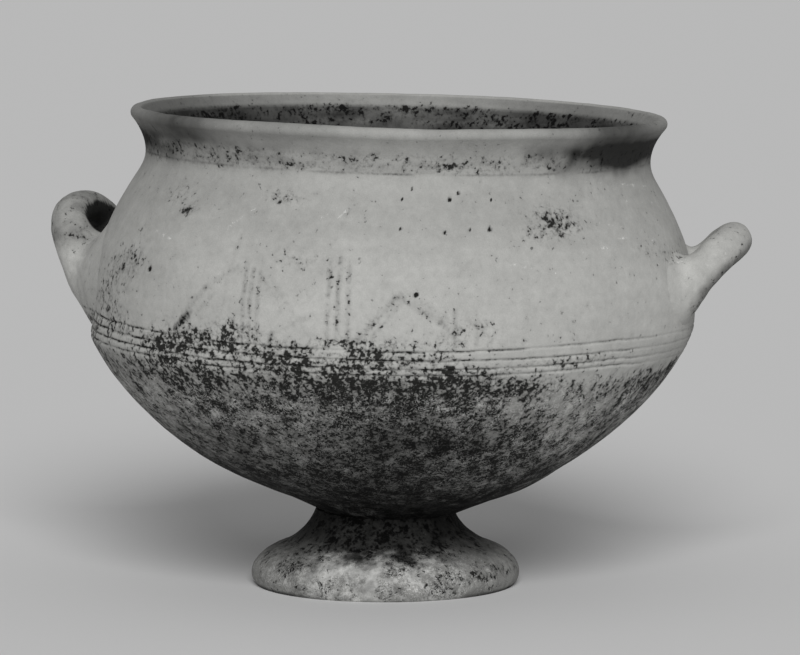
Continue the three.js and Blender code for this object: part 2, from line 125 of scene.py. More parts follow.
SLOPES = np.array([v for v in itertools.product((-1, 0, 1), repeat=3) if sum(map(abs, v)) == 2])
SKEW = np.array(Euler((0.7, 0.5, 0.9)).to_matrix())  # keeps the lattice out of line with the bowl
LATTICE_SHARE = 0.62  # cells in one lump's size
SEED_STEP = 7.31  # how far each seed moves the lattice, in cells
NOISE_GAIN = 1.25
OCTAVE_FALL = 1.8


def noise(points, size, seed):
    """Smooth noise, about -1 to 1, with lumps of that size, which may differ along x, y and z."""
    place = (points @ SKEW if np.isscalar(size) else points) / np.asarray(size, float)
    place = place * LATTICE_SHARE + seed * SEED_STEP
    cell = np.floor(place).astype(np.int64)
    share = place - cell
    soft = share**3 * (share * (share * 6 - 15) + 10)
    total = np.zeros(len(points))
    for corner in itertools.product((0, 1), repeat=3):
        weight = np.prod(np.where(corner, soft, 1 - soft), axis=1)
        slope = SLOPES[hashed(cell + corner, seed) % len(SLOPES)]
        total += weight * np.sum(slope * (share - corner), axis=1)
    return total * NOISE_GAIN


def rough(points, size, seed, octaves=3):
    """Noise with finer and weaker noise on top."""
    finer = [size / 2**k if np.isscalar(size) else np.array(size) / 2**k for k in range(octaves)]
    return sum(noise(points, step, seed + k) / OCTAVE_FALL**k for k, step in enumerate(finer))


def ramp(x, low, high):
    """0 at low, 1 at high, smooth in between."""
    t = np.clip((x - low) / (high - low), 0, 1)
    return t * t * (3 - 2 * t)


def plateau(x, start, full, fading, end):
    """0 outside start and end, 1 from full to fading, smooth in between."""
    return ramp(x, start, full) * (1 - ramp(x, fading, end))


# Outlines

def bend(t, *corners):
    """Points at shares t, a column, along the Bezier curve with those corners."""
    last = len(corners) - 1
    return sum(
        math.comb(last, k) * t**k * (1 - t) ** (last - k) * np.array(corner)
        for k, corner in enumerate(corners)
    )


def curve(stations, count):
    """Points (radius, height) of a smooth outline through its stations, evenly spaced along it."""
    parts = []
    t = np.linspace(0, 1, 400)[:, None]
    for (r0, h0, a0, _, hold0), (r1, h1, a1, hold1, _) in itertools.pairwise(stations):
        a0, a1 = math.radians(a0), math.radians(a1)
        p0, p3 = np.array([r0, h0]), np.array([r1, h1])
        p1 = p0 + hold0 * np.array([math.sin(a0), math.cos(a0)])
        p2 = p3 - hold1 * np.array([math.sin(a1), math.cos(a1)])
        parts.append(bend(t, p0, p1, p2, p3))
    return even(np.concatenate(parts), count)


def even(points, count):
    """The same line with that many points, evenly spaced."""
    gone = np.r_[0, np.cumsum(np.linalg.norm(np.diff(points, axis=0), axis=1))]
    want = np.linspace(0, gone[-1], count)
    return np.stack([np.interp(want, gone, points[:, k]) for k in range(points.shape[1])], axis=1)


WALL = curve(BOWL_OUTLINE, 2000)
ALONG = np.r_[0, np.cumsum(np.linalg.norm(np.diff(WALL, axis=0), axis=1))]
TANGENT = np.gradient(WALL, ALONG, axis=0)
JOINTS = [0, *np.interp((BELLY_JOINT, NECK_JOINT, RIM_JOINT), WALL[:, 1], ALONG), ALONG[-1]]


def wall_point(along, depth):
    """(radius, height) in the wall, at a distance along its outline and a depth in from outside."""
    radius, height, across, up = (np.interp(along, ALONG, v) for v in (*WALL.T, *TANGENT.T))
    return np.stack([radius - up * depth, height + across * depth], axis=1)


def thickness(along):
    return np.interp(along, (JOINTS[0], JOINTS[1], JOINTS[2], JOINTS[4]), WALLS)


def outside_radius(height):
    return np.interp(height, WALL[:, 1], WALL[:, 0])


# Where the hand-built members are: the bowl's own axis leans, and the lower wall strays off it

BOX_LOW = np.array(cad_bounds[0]) / MM + (BOX_INSET, BOX_INSET, 0)
BOX_HIGH = np.array(cad_bounds[1]) / MM - BOX_INSET
foot_low, foot_high = (np.array(v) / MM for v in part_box("foot"))
FOOT_MIDDLE = np.array([*(foot_low + foot_high)[:2] / 2, 0])
LEAN = np.array(Euler((math.radians(LEAN_TO_FRONT), 0, 0)).to_matrix()
                @ Euler((0, math.radians(LEAN_TO_RIGHT), 0)).to_matrix())
JOINT_MIDDLE = FOOT_MIDDLE + (*BOWL_SHIFT, FOOT_HEIGHT)


def in_part(points):
    """Points of the bowl's own frame, in the part's frame."""
    return points @ LEAN.T + JOINT_MIDDLE


def drift(height):
    """How far the lower wall strays off the bowl's axis, along x and y."""
    return plateau(height, *DRIFT_HEIGHTS)[:, None] * DRIFT


def lean_rise(points):
    """How far the foot's points rise or fall where its top follows the leaning bowl."""
    return (points[:, :2] - JOINT_MIDDLE[:2]) @ (LEAN[:2, 2] / -LEAN[2, 2])


def around(azimuth, radius, height):
    """Points in the bowl's frame, at an azimuth from the decorated front."""
    turn = np.radians(azimuth + FRONT)
    return np.stack([radius * np.cos(turn), radius * np.sin(turn), height], axis=1)


def turn_from(azimuth, start):
    """The shortest turn from one azimuth to another, -180 to 180 degrees."""
    return (azimuth - start + 180) % 360 - 180


def azimuth_of(points):
    return turn_from(np.degrees(np.arctan2(points[:, 1], points[:, 0])), FRONT)


# Meshes

def inside_out(points, faces):
    """Whether the faces of a closed form look inward, by the sign of its volume."""
    return sum(float(np.linalg.det(points[list(face[:3])])) for face in faces) < 0


def build(name, points, faces, fields):
    """A mesh object of points in millimetres in the part's frame, with a number field per point."""
    points = np.clip(points, BOX_LOW, BOX_HIGH)
    mesh = bpy.data.meshes.new(name)
    mesh.from_pydata((points * MM).tolist(), [], faces)
    if inside_out(points, faces[:: max(1, len(faces) // VOLUME_SAMPLES)]):
        mesh.flip_normals()
    for key, values in fields.items():
        field = mesh.attributes.new(key, "FLOAT", "POINT")
        field.data.foreach_set("value", values.astype(np.float32))
    mesh.shade_smooth()
    mesh.set_sharp_from_angle(angle=math.radians(SHARP_ANGLE))
    piece = bpy.data.objects.new(name, mesh)
    bpy.context.scene.collection.objects.link(piece)
    return piece


def columns():
    """Azimuths of the columns of a turned mesh, closer together on the decorated front."""
    front = np.arange(-FRONT_REACH, FRONT_REACH, FRONT_STEP)
    back = np.arange(FRONT_REACH, 360 - FRONT_REACH, BACK_STEP)
    return np.r_[front, back]


def ring_faces(rows, count, closed):
    """Faces of a turned mesh: quads between its rows, and a cap at each end where it is open."""
    faces = []
    for j in range(rows if closed else rows - 1):
        a, b = j * count, (j + 1) % rows * count
        faces += [(a + i, a + (i + 1) % count, b + (i + 1) % count, b + i) for i in range(count)]
    if not closed:
        faces += [tuple(range(count))[::-1], tuple(range((rows - 1) * count, rows * count))]
    return faces


def turned(section, azimuths):
    """Azimuth, radius and height of every point of a turned mesh."""
    rows, count = len(section), len(azimuths)
    return np.tile(azimuths, rows), np.repeat(section[:, 0], count), np.repeat(section[:, 1], count)


# The incised lines: azimuth and height of a few places on each, round the whole belly
LINE_AZIMUTHS = (-180, -120, -70, -50, -35, 5, 20, 32, 45, 62, 110, 180)
LINES = (
    (96.9, 97.6, 97.2, 97.0, 96.3, 96.6, 97.2, 98.2, 98.9, 97.9, 96.6, 96.9),
    (100.8, 101.5, 101.3, 101.0, 99.8, 100.1, 100.8, 101.7, 102.4, 101.8, 100.6, 100.8),
    (105.0, 105.9, 105.8, 105.5, 104.5, 104.8, 105.7, 106.3, 107.1, 106.8, 105.2, 105.0),
    (110.1, 110.9, 110.8, 110.5, 109.6, 109.6, 110.9, 112.2, 112.9, 112.4, 110.0, 110.1),
)
LINE_DEPTH, LINE_WIDTH = 0.85, 0.62
BAND_MIDDLE, BAND_REACH = 104, 14  # height of the band, and how far its wandering moves the wall
WORN_STRETCH = (46, 58, 84, 100)  # azimuths between which the lines are shallow
BARE_STRETCH = (2, 34, 90, 120)  # azimuths between which they hold little dark fill


def band_shift(azimuth):
    """How far the incised band wanders up, on average, at an azimuth."""
    mean = np.mean(LINES, axis=0)
    return np.interp(azimuth, LINE_AZIMUTHS, mean - mean.mean())


def lines_at(azimuth, height, points):
    """(how deep the incised lines are here, 0 to 1, and how much dark fill they hold, set a little
    above each line's middle as painted shade).
    """
    deep, dark = np.zeros(len(height)), np.zeros(len(height))
    for k, heights in enumerate(LINES):
        shake = 0.28 * rough(points, (9, 9, 60), 40 + k)
        away = (height - np.interp(azimuth, LINE_AZIMUTHS, heights) - shake) / LINE_WIDTH
        hand = 0.75 + 0.35 * noise(points, (22, 22, 60), 50 + k)
        worn = 1 - 0.6 * plateau(azimuth, *WORN_STRETCH)
        trace = np.exp(-away * away) * np.clip(hand, 0.15, 1) * worn
        deep = np.maximum(deep, trace)
        # The dark band sits a little above the line's middle: the real dark fill, with painted
        # shade on the line's upper side.
        thin = np.exp(-((1.2 * (away - 0.2)) ** 2)) * np.clip(1.3 * hand, 0.2, 1) * worn
        thin *= 1 - 0.55 * plateau(azimuth, *BARE_STRETCH)
        filled = np.clip(0.66 + 0.9 * noise(points, (6, 6, 60), 60 + k), 0, 1)
        dark = np.maximum(dark, thin * filled)
    return deep, dark


# Small black pits where the surface has popped off: azimuth, height, radius and depth
PITS = (
    (-53, 143.5, 2.0, 0.8), (-11.8, 148, 1.2, 0.5), (-11.7, 143, 0.8, 0.3), (3.8, 140, 1.7, 0.8),
    (9.5, 172.5, 1.2, 0.5), (18.7, 174, 1.5, 0.5), (0.8, 174, 0.9, 0.4), (14.5, 174, 0.9, 0.3),
    (11, 189, 1.5, 0.5), (1, 188.5, 0.9, 0.4), (13, 192, 1.2, 0.5), (-25, 184.5, 1.5, 0.5),
    (3, 194, 0.8, 0.3), (20, 189, 0.8, 0.3), (120, 150, 1.8, 0.7), (152, 171, 1.3, 0.5),
    (-160, 139, 1.6, 0.7), (-128, 181, 1.2, 0.5), (178, 160, 1.0, 0.4), (-104, 160, 1.3, 0.5),
)

# Faint dark strokes of a worn hatched design: azimuth and height of each end, width, and darkness
STROKES = (
    (-42, 123, -37, 138, 1.6, 0.16), (-37, 138, -31, 150, 1.6, 0.14),
    (-40, 121, -35, 135, 1.2, 0.10), (-44, 114, -41, 122, 2.2, 0.60),
    (-43.4, 116, -40, 124, 1.2, 0.35), (-23, 112, -22.5, 117, 1.4, 0.5),
    (-28.5, 113, -28.6, 152, 1.3, 0.26), (-27.2, 114, -27.2, 150, 1.2, 0.24),
    (-25.5, 115, -25.6, 148, 1.2, 0.20), (-25, 145, -18, 120, 1.6, 0.14),
    (-23.5, 146, -16.6, 121, 1.2, 0.10), (-22, 117, -15, 128, 1.4, 0.12),
    (-12, 112, -12.2, 157, 1.3, 0.26), (-10.3, 113, -10.3, 158, 1.3, 0.28),
    (-8.2, 112, -8.5, 154, 1.3, 0.22), (-7, 114, 0, 138, 1.9, 0.26), (-5, 114, 1.6, 137, 1.2, 0.14),
    (1, 139, 8.4, 126, 1.9, 0.22), (2.6, 140, 10, 127, 1.2, 0.12), (8.4, 126, 11, 117, 1.5, 0.22),
    (11, 114, 11, 132, 1.3, 0.26), (15, 114, 15, 125, 1.3, 0.20), (12, 150, 14, 157, 1.2, 0.10),
    (13, 128, 17, 119, 1.2, 0.12), (-60, 130, -57, 153, 1.4, 0.22), (-64, 134, -61, 150, 1.2, 0.18),
    (-66, 138, -58, 141, 1.1, 0.20), (-68, 146, -57, 149, 1.1, 0.18),
    (-33, 125, -31, 175, 1.1, 0.07), (-14, 150, -9, 190, 1.4, 0.06),
    (24, 114, 24.4, 128, 1.2, 0.10), (31, 116, 38, 134, 1.3, 0.06),
)

# Stains of fine dark specks: azimuth, height, reach along each, and how dense
STAINS = (
    (-60, 148, 4, 8, 0.24), (-66, 138, 8, 11, 0.22), (-70, 120, 9, 9, 0.26),
    (-47.5, 176.5, 2.2, 3, 0.40), (-53, 184, 6, 5, 0.18), (-24, 188, 5, 5, 0.26),
    (36, 103, 12, 5, 0.30), (84, 107, 6, 8, 0.30), (68, 154, 9, 6, 0.15),
    (-18, 156, 6, 6, 0.16), (33, 178, 6, 8, 0.34), (36, 174, 3.5, 5, 0.24), (58, 160, 6, 4, 0.15),
    (28, 170, 4, 4, 0.18), (-33, 112, 10, 7, 0.30), (-43, 113, 6, 6, 0.20), (-64, 112, 10, 4, 0.04),
    (-30, 119, 5, 5, 0.22), (13, 121, 6, 6, 0.22), (2, 114, 16, 3, 0.22), (-10, 113, 8, 3, 0.18),
    (-26, 204, 4, 4, 0.12), (-6, 209, 7, 5, 0.12), (10, 205, 5, 3, 0.30), (32, 208, 6, 5, 0.10),
    (120, 176, 9, 9, 0.26), (160, 118, 18, 7, 0.26), (-150, 172, 8, 8, 0.24),
    (-115, 118, 14, 6, 0.2), (140, 140, 5, 10, 0.2), (-172, 150, 6, 10, 0.16),
)

# Pale scratches: azimuth and height of each end
SCRATCHES = (
    (44, 197, 74, 190), (50, 186, 76, 181), (42, 176, 60, 169), (48, 167, 72, 162),
    (33, 160, 49, 163), (-16, 176, -9, 190), (-14, 172, -9.5, 184), (27, 72, 36, 66),
    (-42, 61, -34, 66), (55, 152, 70, 150), (20, 157, 33, 150), (-60, 166, -48, 160),
    (-36, 168, -30, 181), (130, 150, 150, 158),
)


def near(azimuth, height, radius, place):
    """Distance in millimetres, over the surface, from (azimuth, height)."""
    across = np.radians(turn_from(azimuth, place[0])) * radius
    return np.hypot(across, height - place[1])


def stroke(azimuth, height, radius, ends):
    """Distance in millimetres, over the surface, from the straight line between two places."""
    a0, h0, a1, h1 = ends
    x, y = np.radians(turn_from(azimuth, a0)) * radius, height - h0
    dx, dy = np.radians(a1 - a0) * outside_radius((h0 + h1) / 2), h1 - h0
    share = np.clip((x * dx + y * dy) / (dx * dx + dy * dy), 0, 1)
    return np.hypot(x - share * dx, y - share * dy)


def spot(azimuth, height, place):
    """A soft round patch: 1 at its azimuth and height, fading over its reach along each."""
    a, h, reach_a, reach_h = place
    return np.exp(-((turn_from(azimuth, a) / reach_a) ** 2) - ((height - h) / reach_h) ** 2)


def spots(azimuth, height, table):
    """The soft patches of a table together, each as strong as its last value says."""
    return sum(more * spot(azimuth, height, place) for *place, more in table)


# Denser and thinner soot on the lower body: azimuth, height, reach along each, and how much
SOOT_PATCHES = (
    (-40, 108, 10, 6, 0.16), (-22, 106, 5, 3, 0.10), (-60, 104, 12, 9, -0.18),
    (-34, 84, 14, 14, 0.06), (0, 84, 12, 12, 0.14), (4, 60, 22, 20, 0.18),
    (14, 46, 14, 12, 0.10), (-62, 78, 15, 20, -0.16), (-16, 78, 7, 10, -0.06),
    (42, 80, 14, 18, -0.22), (26, 88, 8, 8, 0.12), (34, 60, 10, 14, 0.10), (60, 84, 9, 16, 0.05),
    (150, 70, 26, 30, 0.22), (-130, 76, 24, 24, -0.12), (100, 84, 18, 14, 0.10),
)

# How pale the lip is: azimuths, and the tone at each
LIP_TONES = (
    (-180, -140, -118, -90, -75, -62, -52, -42, -30, -20, -9,
     2, 13, 25, 36, 46, 54, 64, 76, 90, 180),
    (1, 1, 0.6, 0.66, 0.6, 0.35, 0.22, 0.5, 0.72, 0.68, 0.82,
     0.88, 0.8, 0.84, 0.7, 0.36, 0.25, 0.4, 0.7, 0.9, 1),
)

# How far the lip's top wanders up in front: azimuths, and millimetres at each
LIP_RISES = ((-60, -35, -20, 5, 15, 28, 42, 60), (0, 0.8, 1.0, 0.4, 0.9, 1.1, 0.5, 0))

# Broad darker and paler areas of the outside: azimuth, height, reach along each, and how much
WASHES = (
    (5, 182, 40, 24, -0.05), (-34, 208, 24, 6, -0.09), (-58, 178, 16, 26, -0.12),
    # The strong dark patch at azimuth 85, height 106, on the next line, is painted shade under the
    # right handle's pad.
    (-36, 186, 12, 16, -0.05), (-64, 140, 9, 14, -0.14), (85, 106, 6, 9, -0.40),
    (34, 178, 12, 12, -0.08), (66, 155, 10, 7, -0.10), (0, 160, 34, 26, -0.08),
    (-24, 172, 9, 6, -0.05), (-14, 62, 34, 24, -0.08), (-40, 40, 20, 14, -0.06),
    (-47.5, 176.5, 2.6, 3.6, -0.16), (66, 130, 16, 34, 0.09), (44, 130, 20, 18, 0.04),
    (-78, 112, 12, 10, 0.06), (-12, 128, 18, 14, 0.04), (-60, 82, 16, 16, 0.06),
    (8, 60, 18, 22, -0.26), (38, 80, 18, 18, 0.13), (38, 42, 14, 14, 0.10),
    (-24, 104, 10, 6, -0.05), (78, 100, 10, 22, -0.10), (120, 178, 22, 20, -0.10),
    (-140, 150, 24, 30, -0.08), (165, 90, 26, 24, -0.12),
)

# Unlit parts of the inside, behind each handle: azimuth, height, reach along each, and how dark
GLOOM = ((-128, 205, 42, 60, 0.78), (134, 205, 34, 60, 0.72))

SCORCH_TOP = 112.5  # height of the lower body's soot at the front's left
NECK_LINE = 201.5  # height of the faint line along the foot of the neck
BACK_FULL = 120  # azimuth, to both sides, from which all is back


def at_back(azimuth):
    """1 on the back, which the photograph doesn't show, and 0 on the front."""
    return ramp(np.abs(azimuth), FRONT_REACH, BACK_FULL)


def soft_neck(azimuth):
    """1 where the neck's specked band has a soft edge, at the front's left, and 0 elsewhere."""
    return ramp(-azimuth, 8, 36) * (1 - at_back(azimuth))


def streaks(azimuth, points):
    """Upright streaks in the soot at the front's right, -1 to 1."""
    return noise(points, (4.5, 4.5, 60), 7) * ramp(azimuth, 10, 34) * (1 - at_back(azimuth))


def scorch(azimuth, height, points):
    """How densely the outside of the bowl is specked with soot, 0 to 1."""
    edge = SCORCH_TOP - 16 * ramp(azimuth, 2, 36) * (1 - at_back(azimuth))
    edge += 3.0 * rough(points, 16, 3)
    low = 1 - ramp(height, edge - 9, edge + 4)
    dense = 0.46 + 0.14 * rough(points, (20, 20, 28), 5) + 0.26 * (1 - ramp(height, 12, 60))
    dense += 0.16 * rough(points, 7, 6) - 0.10 * ramp(height, 93, 98)
    dense += spots(azimuth, height, SOOT_PATCHES)
    soot = low * (dense + 0.20 * streaks(azimuth, points)) + spots(azimuth, height, STAINS)
    soot -= np.clip(soot - 0.50, 0, 1) * 0.7 * ramp(height, 94, 98)
    soft = soft_neck(azimuth)
    neck = plateau(height, NECK_LINE - 1 - 5 * soft, NECK_LINE + 1.5 + 3 * soft, 210, 215)
    soot += neck * (0.145 + 0.10 * ramp(-azimuth, 10, 45) + 0.09 * rough(points, 9, 8))
    return np.clip(soot + 0.01 + 0.045 * ramp(rough(points, 15, 29), 0.1, 0.9), 0, 1)


def wash(azimuth, height, points):
    """How pale the outside of the bowl is, apart from specks, painted shade included: 1 for bare
    clay.
    """
    back = at_back(azimuth)
    pale = 1 - 0.10 * ramp(height, 150, 190)
    # Darker towards the bottom: the lower body's soot wash, with painted shade under the belly near
    # the base.
    pale -= 0.32 * (1 - ramp(height, 80, 104 - 6 * ramp(azimuth, 10, 40) * (1 - back)))
    pale -= 0.30 * (1 - ramp(height, 30, 84)) + 0.30 * (1 - ramp(height, 8, 48))
    pale += spots(azimuth, height, WASHES)

    line, soft = NECK_LINE + 0.8 * noise(points, 14, 9), soft_neck(azimuth)
    neck = plateau(height, line - 0.6 - 6 * soft, line + 1.0 + 4 * soft, 211, 215.5)
    pale -= neck * (0.08 + 0.14 * soft + 0.12 * rough(points, (20, 20, 6), 10))

    # Painted shade under the lip at both ends of the neck, fading down on to the top of the
    # shoulder.
    wander = 6 * rough(points, 14, 25)
    ends = 0.60 * ramp(wander - azimuth, 40, 80)
    ends += 0.98 * ramp(azimuth + wander + 0.6 * (height - 208), 24, 60)
    shadow = ramp(height + 0.3 * wander, 195, 210) * (1 - ramp(height, 213, 220))
    shadow += 0.10 * ramp(height, 178, 198)
    pale -= shadow * ends * (1 - back) + 0.18 * neck * back
    pale -= 0.06 * ramp(height, 216, 219) * back
    lip_tone = np.interp(azimuth + 0.6 * wander, *LIP_TONES)
    pale *= 1 + (lip_tone - 1) * ramp(height, 209, 215)

    mottle = 0.045 * rough(points, 7, 27) + 0.03 * noise(points, (40, 40, 2.2), 28)
    pale += mottle * ramp(height, 100, 112)
    low = 1 - ramp(height, 92, 104)
    pale += (0.05 + 0.05 * low) * rough(points, (34, 34, 26), 11)
    pale += 0.11 * low * rough(points, 5, 42)
    pale -= 0.12 * streaks(azimuth, points) * (1 - ramp(height, 88, 98))
    return np.clip(pale, 0.06, 1.2)


def outside_clay(azimuth, radius, height, points):
    """Tone, soot, ink and pale crust of the bowl's outside, and how far it stands out."""
    soot, tone = scorch(azimuth, height, points), wash(azimuth, height, points)
    lift = 0.30 * noise(points, (55, 55, 40), 12) + 0.16 * rough(points, 13, 13)
    deep, dark = lines_at(azimuth, height, points)
    lift -= LINE_DEPTH * deep
    # Painted highlight: a line is lighter where it holds no fill, most on its lower side, where it
    # would catch the light.
    tone *= 1 + 0.10 * deep * (1 - dark)
    neck_line = (height - NECK_LINE + 0.3 - 0.5 * noise(points, 12, 22)) / 0.55
    neck_ink = np.exp(-(neck_line**2)) * np.clip(0.35 + 0.6 * noise(points, 10, 23), 0, 0.7)
    ink = np.maximum(1.7 * dark, neck_ink)
    for a, h, size, depth in PITS:
        away = near(azimuth, height, radius, (a, h)) / size
        ink = np.maximum(ink, 2.2 * (1 - ramp(away, 0.35, 0.95)))
        lift -= depth * (1 - ramp(away, 0.3, 1.1))

    worn = np.clip(0.50 + 0.95 * rough(points, 4, 15), 0, 1)
    shake = 0.4 * noise(points, 2.2, 16)
    for *ends, width, strength in STROKES:
        away = stroke(azimuth, height, radius, ends) + shake
        trace = strength * (1 - ramp(away, 0.3 * width, 1.7 * width))
        ink = np.maximum(ink, 1.7 * (trace - 0.2).clip(0) * worn)
        soot = np.maximum(soot, 0.05 * (trace > 0) + 0.62 * trace)
        tone = tone * (1 - 0.85 * trace * (0.4 + 0.6 * worn))

    lace = 0.50 + 0.14 * rough(points, 20, 24) + 0.26 * rough(points, 5.5, 30)
    pale = np.maximum(0, (1 - ramp(height, 74, 104)) * lace + 0.10 * ramp(height, 203, 206))
    shake = 0.5 * noise(points, (9, 9, 7), 17)
    for ends in SCRATCHES:
        away = np.abs(stroke(azimuth, height, radius, ends) + shake)
        pale = np.maximum(pale, 0.70 * (1 - ramp(away, 0.2, 0.8)) * worn)
    return tone, soot, ink, pale, lift


def inside_clay(azimuth, height, points):
    """Tone and soot of the bowl's inside and the lip's top, and how far they stand out."""
    streak = rough(points, (70, 70, 3.0), 19, 4)
    gloom = 1 - spots(azimuth, height, GLOOM)
    dark_lip = plateau(-azimuth, 40, 62, 118, 140)
    top = ramp(height, 217.5, 220.5)
    mottle = 0.14 * streak + 0.13 * rough(points, (13, 13, 5), 26)
    tone = (0.34 + 1.2 * mottle) * gloom * (1 - top)
    tone += (0.76 + 0.5 * mottle) * (0.4 + 0.6 * gloom) * (1 - 0.28 * dark_lip) * top
    soot = (0.33 + 0.20 * streak + 0.14 * rough(points, (16, 16, 6), 18)) * (1 - 0.85 * top)
    lift = 0.25 * noise(points, (40, 40, 9), 20) + 0.1 * noise(points, (60, 60, 2.5), 21)
    return tone, soot, lift


def dress_wall(azimuth, radius, height, points, outer):
    """The fields that the clay's material reads, and how far the bowl's surface stands out."""
    tone, soot, ink, pale, lift = outside_clay(azimuth, radius, height, points)
    inner_tone, inner_soot, inner_lift = inside_clay(azimuth, height, points)
    fields = {
        "tone": np.clip(np.where(outer, tone, inner_tone), 0.05, 1.3),
        "soot": np.clip(np.where(outer, soot, inner_soot), 0, 1),
        "ink": ink * outer,
        "pale": pale * outer,
    }
    return fields, np.where(outer, lift, inner_lift) * ramp(height, 0.5, 7)


def wall_member(name, form, azimuths, closed=True):
    """A turned member of the bowl. Its form: a section, where that is outside, and its normals."""
    section, outer, ways = form
    azimuth, radius, height = turned(section, azimuths)
    azimuth = azimuth - 360 * (azimuth > 180)
    height = height + band_shift(azimuth) * np.exp(-(((height - BAND_MIDDLE) / BAND_REACH) ** 2))
    height += np.interp(azimuth, *LIP_RISES) * ramp(height, 208, 218)
    points = around(azimuth, radius, height)
    outer = np.repeat(outer, len(azimuths))
    fields, lift = dress_wall(azimuth, radius, height, points, outer)
    out = (lift * ramp(radius, 4, 20))[:, None] * np.repeat(ways, len(azimuths), axis=0)
    points = around(azimuth, radius + out[:, 0], height + out[:, 1])
    points[:, :2] += drift(height)
    return build(name, in_part(points), ring_faces(len(section), len(azimuths), closed), fields)


def section_normal(section, closed):
    """Outward direction, in radius and height, along a section that runs up its outside."""
    ahead, behind = np.roll(section, -1, axis=0), np.roll(section, 1, axis=0)
    if not closed:
        ahead[-1], behind[0] = section[-1], section[0]
    way = ahead - behind
    return np.stack([way[:, 1], -way[:, 0]], axis=1) / np.hypot(*way.T)[:, None]


def wall_normal(along):
    """The wall's outward direction, in radius and height, at distances along its outline."""
    across, up = (np.interp(along, ALONG, v) for v in TANGENT.T)
    return np.stack([up, -across], axis=1)


def outside_first(outside, others):
    """Whether each point of a section is outside: so many are, and the others are not."""
    return np.repeat([True, False], (outside, others))


def wall_section(start, end, steps, inner_step=6.0):
    """A member between two distances along the wall, bevelled up towards the inside."""
    rows = max(3, int((end - start) / inner_step))
    inner = np.linspace(end + BEVEL_RISE, start + BEVEL_RISE, rows)
    section = np.concatenate([wall_point(steps, 0), wall_point(inner, thickness(inner))])
    ways = np.concatenate([wall_normal(steps), -wall_normal(inner)])
    return section, outside_first(len(steps), len(inner)), ways


def base_section():
    """The disc that the bowl stands on: its underside, a flank up to the wall, and the floor."""
    inner = wall_point(np.array([BEVEL_RISE]), thickness(np.array([BEVEL_RISE])))[0]
    under = np.stack([np.linspace(AXIS_GAP, BASE_RADIUS, 14), np.zeros(14)], axis=1)
    flank = np.linspace((BASE_RADIUS, 0), WALL[0], 16)[1:]
    flank = np.insert(flank, -1, flank[-1] - 0.004 * (WALL[0] - flank[0]), axis=0)
    t = np.linspace(0, 1, 16)[:, None]
    floor = bend(t, inner, (FLOOR_FLAT_RADIUS, WALLS[0]), (AXIS_GAP, WALLS[0]))
    section = np.concatenate([under, flank, floor])
    outside = len(under) + len(flank)
    ways = section_normal(section, False)
    ways[outside - 1] = wall_normal([0])[0]
    return section, outside_first(outside, len(floor)), ways


def lip_section(rim, lip):
    """The lip: the wall's outside, a round top, and the inside down to the neck's bevel."""
    steps = spaced(rim, lip, 0.8 * ROW_STEP)
    outside = wall_point(steps, 0)
    half = WALLS[3] / 2
    centre = wall_point(np.array([lip]), half)[0]
    start = math.atan2(*(outside[-1] - centre)[::-1])
    turns = np.linspace(start, start + math.pi, 13)[1:-1]
    roll = centre + half * np.stack([np.cos(turns), np.sin(turns)], axis=1)
    back = np.linspace(lip, rim + BEVEL_RISE, 8)
    section = np.concatenate([outside, roll, wall_point(back, thickness(back))])
    ways = np.concatenate([wall_normal(steps), (roll - centre) / half, -wall_normal(back)])
    return section, outside_first(len(outside) + len(roll), len(back)), ways


def spaced(start, end, step):
    """Even steps, with one more close to each end, so that shading runs on over a joint."""
    steps = np.linspace(start, end, max(2, round((end - start) / step) + 1))
    return np.r_[start, start + JOINT_EDGE, steps[1:-1], end - JOINT_EDGE, end]


def make_bowl():
    """The bowl's five members, each after the name of the solid that it replaces."""
    azimuths = columns()
    floor_edge, belly, neck, rim, lip = JOINTS
    base = wall_member("bowl_base_clay", base_section(), azimuths[::2], closed=False)

    steps = spaced(floor_edge, belly, 1.6 * ROW_STEP)
    lower = wall_member("lower_wall_clay", wall_section(floor_edge, belly, steps), azimuths)

    steps = np.r_[
        spaced(belly, belly + 22, 0.6 * ROW_STEP),
        spaced(belly + 22, belly + 64, 1.05 * ROW_STEP)[1:],
        spaced(belly + 64, neck, 1.6 * ROW_STEP)[1:],
    ]
    shoulder = wall_member("shoulder_clay", wall_section(belly, neck, steps), azimuths)

    steps = spaced(neck, rim, 1.0 * ROW_STEP)
    collar = wall_member("neck_clay", wall_section(neck, rim, steps, 1.2 * ROW_STEP), azimuths)
    rim_lip = wall_member("lip_clay", lip_section(rim, lip), azimuths)
    return {"bowl_base": base, "lower_wall": lower, "shoulder_wall": shoulder,
            "neck_collar": collar, "rim_lip": rim_lip}


# Foot

def make_foot():
    azimuths = np.arange(0, 360, 1.0)
    outside = curve(FOOT_OUTLINE, 60)
    top = np.linspace((STEM_RADIUS, FOOT_HEIGHT), (THROAT_RADIUS, FOOT_HEIGHT), 5)[1:]
    throat = np.linspace((THROAT_RADIUS, FOOT_HEIGHT), (THROAT_RADIUS, THROAT_HEIGHT), 6)[1:-1]
    hollow = curve(HOLLOW_OUTLINE, 30)[::-1]
    ring = np.linspace((HOLLOW_RADIUS, 0), (FOOT_RADIUS, 0), 7)[1:-1]
    section = np.concatenate([outside, top, throat, hollow, ring])
    outer = np.repeat(np.arange(len(section)) < len(outside), len(azimuths))
    azimuth, radius, height = turned(section, azimuths)
    points = around(azimuth, radius, height)
    normal = np.repeat(section_normal(section, True), len(azimuths), axis=0)
    lift = 0.35 * noise(points, 24, 31) + 0.30 * rough(points, 7, 32)
    lift *= np.where(outer, 1, 0.6) * ramp(height, 0, 3) * (1 - ramp(height, 38, FOOT_HEIGHT))
    radius, height = radius + lift * normal[:, 0], height + lift * normal[:, 1]
    points = around(azimuth, radius, height) + FOOT_MIDDLE
    points[:, 2] += lean_rise(points) * ramp(height, LEAN_START, FOOT_HEIGHT)
    return build("foot_clay", points, ring_faces(len(section), len(azimuths), True),
                 dress_foot(azimuth, height, points, outer))


